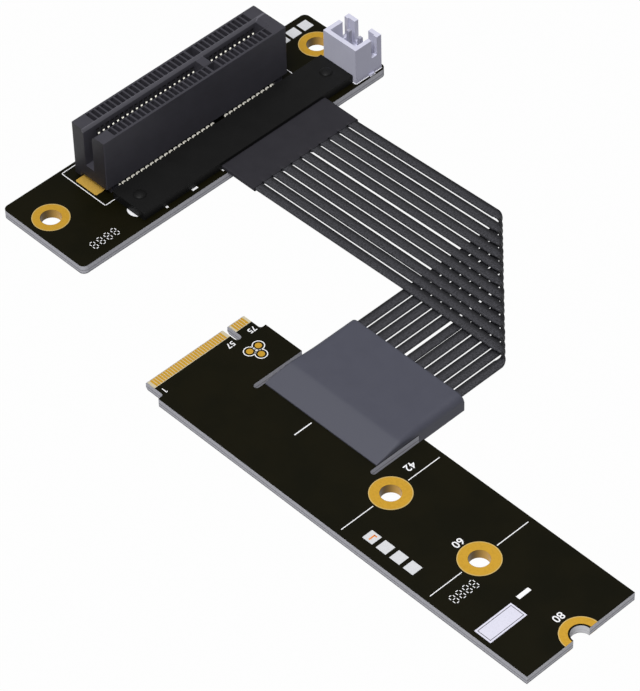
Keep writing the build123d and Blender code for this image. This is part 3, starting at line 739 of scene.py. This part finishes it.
def addBoot():
    low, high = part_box("lower_boot")
    halfWidth, length = (high.x - low.x) / 2 / mm, (high.y - low.y) / mm
    middle = (low.x + high.x) / 2
    shape = bmesh.new()
    bmesh.ops.create_grid(shape, x_segments=boot["across"], y_segments=boot["along"], size=1.0)
    for vert in shape.verts:
        side = sin(vert.co.x * pi / 2) * halfWidth
        distance = (1 + sin(vert.co.y * pi / 2)) / 2 * length
        height = bootHeight(distance)
        growth = smooth(distance / boot["roundAt"])
        edge = boot["roundStart"] + (boot["roundFull"] - boot["roundStart"]) * growth
        edge = min(edge, height - boot["least"])
        inset = min(halfWidth - abs(side), edge)
        height -= edge - sqrt(max(0.0, edge * edge - (edge - inset) ** 2))
        last = min(length - distance, boot["endRound"])
        height -= boot["endRound"] - sqrt(max(0.0, boot["endRound"] ** 2 - (boot["endRound"] - last) ** 2))
        height = max(height, boot["least"])
        vert.co = Vector((middle + side * mm, low.y + distance * mm, boardTop + height * mm))
    rim = [e for e in shape.edges if e.is_boundary]
    walls = bmesh.ops.extrude_edge_only(shape, edges=rim)["geom"]
    for vert in [v for v in walls if isinstance(v, bmesh.types.BMVert)]:
        vert.co.z = low.z
    bmesh.ops.holes_fill(shape, edges=[e for e in shape.edges if e.is_boundary], sides=0)
    addPiece("boot", shape, "boot", ["lower_boot"], 40.0)


addBoot()
print("boot made")


# print on the boards, in mm: lines, squares, blank marks and plain numbers
ink = {"low": -0.003, "high": 0.014, "line": 0.15, "bolder": 0.02}


def inkBlock(shape, centre, size, turn=0.0):
    made = bmesh.ops.create_cube(shape, size=1.0)["verts"]
    thick = (ink["high"] - ink["low"]) * mm
    bmesh.ops.scale(shape, vec=(size[0] * mm, size[1] * mm, thick), verts=made)
    bmesh.ops.rotate(shape, matrix=Matrix.Rotation(turn, 3, "Z"), verts=made)
    bmesh.ops.translate(shape, vec=centre + up * (ink["high"] + ink["low"]) / 2 * mm, verts=made)


def inkFrame(shape, low, high, line):     # four lines round a box
    middle = (low + high) / 2
    wide, tall = (high.x - low.x) / mm, (high.y - low.y) / mm
    for side in (-1, 1):
        inkBlock(shape, middle + Vector((side * wide / 2 * mm, 0, 0)), (line, tall + line))
        inkBlock(shape, middle + Vector((0, side * tall / 2 * mm, 0)), (wide + line, line))


def inkRing(shape, centre, radius, line, parts=40):
    thick = (ink["high"] - ink["low"]) * mm
    outer = bmesh.ops.create_circle(shape, segments=parts, radius=(radius + line / 2) * mm)["verts"]
    inner = bmesh.ops.create_circle(shape, segments=parts, radius=(radius - line / 2) * mm)["verts"]
    made = set(outer + inner)
    edges = [e for e in shape.edges if e.verts[0] in made and e.verts[1] in made]
    faces = bmesh.ops.bridge_loops(shape, edges=edges)["faces"]
    raised = bmesh.ops.extrude_face_region(shape, geom=faces)["geom"]
    tops = [v for v in raised if isinstance(v, bmesh.types.BMVert)]
    bmesh.ops.translate(shape, vec=(0, 0, thick), verts=tops)
    bmesh.ops.translate(shape, vec=centre + up * ink["low"] * mm, verts=list(made) + tops)


def inkNumber(shape, words, centre, size, turn):
    text = bpy.data.curves.new("number", "FONT")
    text.body = words
    text.size = size * mm
    text.align_x, text.align_y = "CENTER", "CENTER"
    text.extrude = (ink["high"] - ink["low"]) / 2 * mm
    text.offset = ink["bolder"] * mm
    text.resolution_u = 3
    holder = bpy.data.objects.new("number", text)
    bpy.context.scene.collection.objects.link(holder)
    mesh = bpy.data.meshes.new_from_object(holder)
    mesh.transform(Matrix.Translation(centre + up * (ink["high"] + ink["low"]) / 2 * mm)
                   @ Matrix.Rotation(turn, 4, "Z"))
    shape.from_mesh(mesh)
    bpy.data.objects.remove(holder)
    bpy.data.meshes.remove(mesh)


date = {"half": 0.4, "pitch": 0.8, "flat": (0.4, 0.13), "upright": (0.13, 0.44)}


def inkDate(shape, centre, turn):         # a blank date mark: two loops of seven dashes
    dashes = [((0, y), date["flat"]) for y in (-1, 0, 1)]
    dashes += [((x, y), date["upright"]) for y in (-0.5, 0.5) for x in (-1, 1)]
    for (x, y), size in dashes:
        spot = Matrix.Rotation(turn, 3, "Z") @ Vector((x * date["half"] * mm, y * date["pitch"] * mm, 0))
        inkBlock(shape, centre + spot, size, turn)


def inkCrescent(shape, centre, radius, edge):     # the part of a filled disc that the cover leaves free
    disc = bmesh.new()
    bmesh.ops.create_circle(disc, cap_ends=True, segments=48, radius=radius * mm)
    bmesh.ops.translate(disc, vec=centre + up * ink["low"] * mm, verts=disc.verts)
    bmesh.ops.bisect_plane(disc, geom=disc.verts[:] + disc.edges[:] + disc.faces[:], plane_co=edge,
                           plane_no=(0, 1, 0), clear_outer=True)
    raised = bmesh.ops.extrude_face_region(disc, geom=disc.faces[:])["geom"]
    tops = [v for v in raised if isinstance(v, bmesh.types.BMVert)]
    bmesh.ops.translate(disc, vec=(0, 0, (ink["high"] - ink["low"]) * mm), verts=tops)
    mesh = bpy.data.meshes.new("crescent")
    disc.to_mesh(mesh)
    disc.free()
    shape.from_mesh(mesh)
    bpy.data.meshes.remove(mesh)


slotPrint = {                             # across, along
    "frames": (((0.65, 11.8), (10.96, 53.75), 0.15), ((11.03, 59.1), (18.55, 64.95), 0.12)),
    "blocks": (((18.62, 62.6), (0.5, 1.1)), ((18.08, 18.36), (0.42, 0.42)),
               ((18.08, 24.24), (0.42, 1.1)), ((18.08, 30.45), (0.42, 0.7))),
    "dates": [(16.4, 4.6 + step * 1.44) for step in range(4)],
    "disc": (15.18, 14.88), "discRadius": 1.76, "coverEdge": (15.18, 13.72),
    "squares": ((2.25, 63.4), (2.25, 60.76), (2.25, 58.2)), "square": (2.0, 2.0),
}


def addSlotBoardPrint():
    white = bmesh.new()
    for low, high, line in slotPrint["frames"]:
        inkFrame(white, onSlot(*low), onSlot(*high), line)
    for spot, size in slotPrint["blocks"]:
        inkBlock(white, onSlot(*spot), size)
    for spot in slotPrint["dates"]:
        inkDate(white, onSlot(*spot), radians(90))
    inkCrescent(white, onSlot(*slotPrint["disc"]), slotPrint["discRadius"], onSlot(*slotPrint["coverEdge"]))
    addPiece("slotBoardPrint", white, "print")
    grey = bmesh.new()
    for spot in slotPrint["squares"]:
        inkBlock(grey, onSlot(*spot), slotPrint["square"])
    addPiece("slotBoardSquares", grey, "greyPrint")


drivePrint = {                            # along, across
    "lines": [((station, side * 6.82), (0.15, 6.45)) for station in (42, 60) for side in (-1, 1)],
    "blocks": (((23.7, -0.1), (0.2, 3.5), 0), ((3.4, -9.2), (1.1, 0.17), 0),      # a dash, and a plain 1
               ((3.82, -9.08), (0.15, 0.32), 35), ((69.0, -0.25), (0.72, 2.45), 0)),
    "padRing": 0.95, "numberTurn": -90,
    "numbers": (("42", (40.15, 5.7), 1.9), ("60", (55.65, 0.0), 1.9), ("80", (75.5, 0.0), 1.9),
                ("57", (3.35, 4.3), 1.45), ("75", (3.3, 8.75), 1.45)),
    "dates": [(62.8, -8.0 + step * 1.34) for step in range(4)],
    "label": ((70.55, -6.5), (3.2, 7.4)), "labelLine": ((69.3, -9.85), (71.8, -3.15), 0.09),
    "squares": ((46.2, -7.95), (48.95, -7.95), (51.7, -7.95), (54.45, -7.95)), "square": (2.0, 2.0),
    "orange": (((46.2, -7.95), (0.26, 1.25)), ((46.45, -7.45), (0.5, 0.22))),
    "over": 0.012,                        # how far the second colour stands above the first
}


def addDriveBoardPrint():
    white = bmesh.new()
    turn, over = radians(drivePrint["numberTurn"]), drivePrint["over"]
    for spot, size in drivePrint["lines"]:
        inkBlock(white, onDrive(*spot), size)
    for spot, size, degrees in drivePrint["blocks"]:
        inkBlock(white, onDrive(*spot), size, radians(degrees))
    for spot in testPads["spots"]:
        inkRing(white, onDrive(*spot), drivePrint["padRing"], ink["line"])
    for words, spot, size in drivePrint["numbers"]:
        inkNumber(white, words, onDrive(*spot), size, turn)
    for spot in drivePrint["dates"]:
        inkDate(white, onDrive(*spot), turn)
    addPiece("driveBoardPrint", white, "print")
    label = bmesh.new()
    inkBlock(label, onDrive(*drivePrint["label"][0]), drivePrint["label"][1])
    addPiece("driveBoardLabel", label, "labelPrint")
    dark = bmesh.new()
    low, high, line = drivePrint["labelLine"]
    inkFrame(dark, onDrive(*low, over), onDrive(*high, over), line)
    addPiece("labelOutline", dark, "darkPrint")
    grey = bmesh.new()
    for spot in drivePrint["squares"]:
        inkBlock(grey, onDrive(*spot), drivePrint["square"])
    addPiece("driveBoardSquares", grey, "greyPrint")
    orange = bmesh.new()
    for spot, size in drivePrint["orange"]:
        inkBlock(orange, onDrive(*spot, over), size)
    addPiece("squareMark", orange, "orangePrint")


addSlotBoardPrint()
addDriveBoardPrint()
print("print made")


# floor, backdrop and lamps
studio = {
    "floor": tone(118, 118, 118), "floorHalf": 6.0, "seenWhite": 0.985, "world": 0.22,
    "lamps": [                            # place in m, size in m, share of full light
        ((0.25, -0.50, 1.00), 0.50, 0.93),
        ((-0.25, 0.10, 1.25), 0.70, 0.20),
    ],
}


def seenRays(shade):                      # camera, mirror and glass rays see the pale backdrop
    rays = shade.node("ShaderNodeLightPath", {}, {}, "Is Camera Ray")
    return shade.larger(shade.larger(rays, rays.also("Is Glossy Ray")), rays.also("Is Transmission Ray"))


def addFloor():
    shade = Shade("floor", {"Base Color": studio["floor"], "Roughness": 0.9, "Specular IOR Level": 0.1})
    white = shade.node("ShaderNodeEmission", {}, {"Color": (1, 1, 1, 1), "Strength": 1.0})
    seen = seenRays(shade) * studio["seenWhite"]
    body = Value(shade, shade.shader.outputs[0])
    mixed = shade.node("ShaderNodeMixShader", {}, {0: seen, 1: body, 2: white})
    shade.feed(shade.tree.nodes["Material Output"].inputs["Surface"], mixed)
    shape = bmesh.new()
    bmesh.ops.create_grid(shape, x_segments=1, y_segments=1, size=studio["floorHalf"])
    mesh = bpy.data.meshes.new("floor")
    shape.to_mesh(mesh)
    shape.free()
    mesh.materials.append(shade.made)
    floor = bpy.data.objects.new("floor", mesh)
    bpy.context.scene.collection.objects.link(floor)


def addWorld():
    shade = Shade("studio", {}, "worlds")
    bpy.context.scene.world = shade.made
    sky = shade.tree.nodes["Background"].inputs
    rays = shade.node("ShaderNodeLightPath", {}, {}, "Is Camera Ray")
    shade.feed(sky["Color"], (1, 1, 1, 1))
    shade.feed(sky["Strength"], rays * (1.0 - studio["world"]) + studio["world"])


def addLamps():
    target = Vector((0.0, 0.0, 0.0))
    for number, (place, size, share) in enumerate(studio["lamps"]):
        lamp = bpy.data.lights.new(f"lamp{number}", "AREA")
        lamp.shape = "DISK"
        lamp.size = size
        distance = (Vector(place) - target).length
        lamp.energy = share * pi * pi * distance * distance
        holder = bpy.data.objects.new(f"lamp{number}", lamp)
        holder.location = place
        holder.rotation_mode = "QUATERNION"
        holder.rotation_quaternion = (target - Vector(place)).to_track_quat("-Z", "Y")
        bpy.context.scene.collection.objects.link(holder)


addFloor()
addWorld()
addLamps()
bpy.context.scene.view_settings.view_transform = "Standard"
print("studio made")
